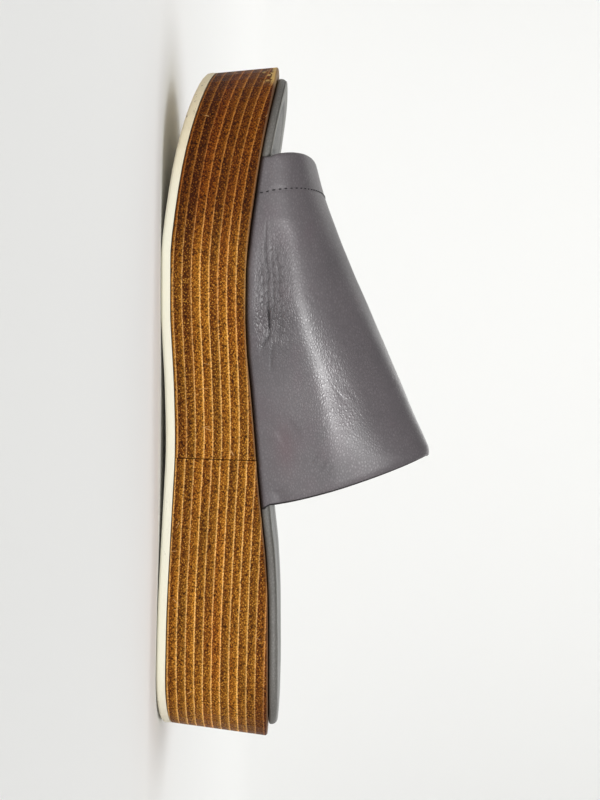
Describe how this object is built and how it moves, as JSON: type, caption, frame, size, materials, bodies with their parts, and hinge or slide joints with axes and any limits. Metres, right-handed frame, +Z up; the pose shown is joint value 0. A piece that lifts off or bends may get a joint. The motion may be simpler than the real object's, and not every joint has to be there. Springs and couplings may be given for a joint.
{
  "type": "platform slide sandal",
  "caption": "Slide sandal with a wide leather band over the forefoot, a padded leather insole and a stacked wooden platform on a thin rubber outsole.",
  "frame": {"origin": "on the floor, under the middle of the shoe's bounding box", "axes": "+X from heel to toe, +Y to the inner (medial) side of this right shoe, +Z up"},
  "size_m": [0.2578, 0.0918, 0.1027],
  "materials": {
    "outsole": "matte cream",
    "platform": "brown stained stacked layers, satin",
    "insole": "smooth grey",
    "upper": "smooth mauve grey, soft sheen"
  },
  "bodies": {
    "root": {"outsole": "outsole", "platform_front": "platform", "platform_heel": "platform", "insole": "insole", "upper": "upper"}
  },
  "joints": []
}
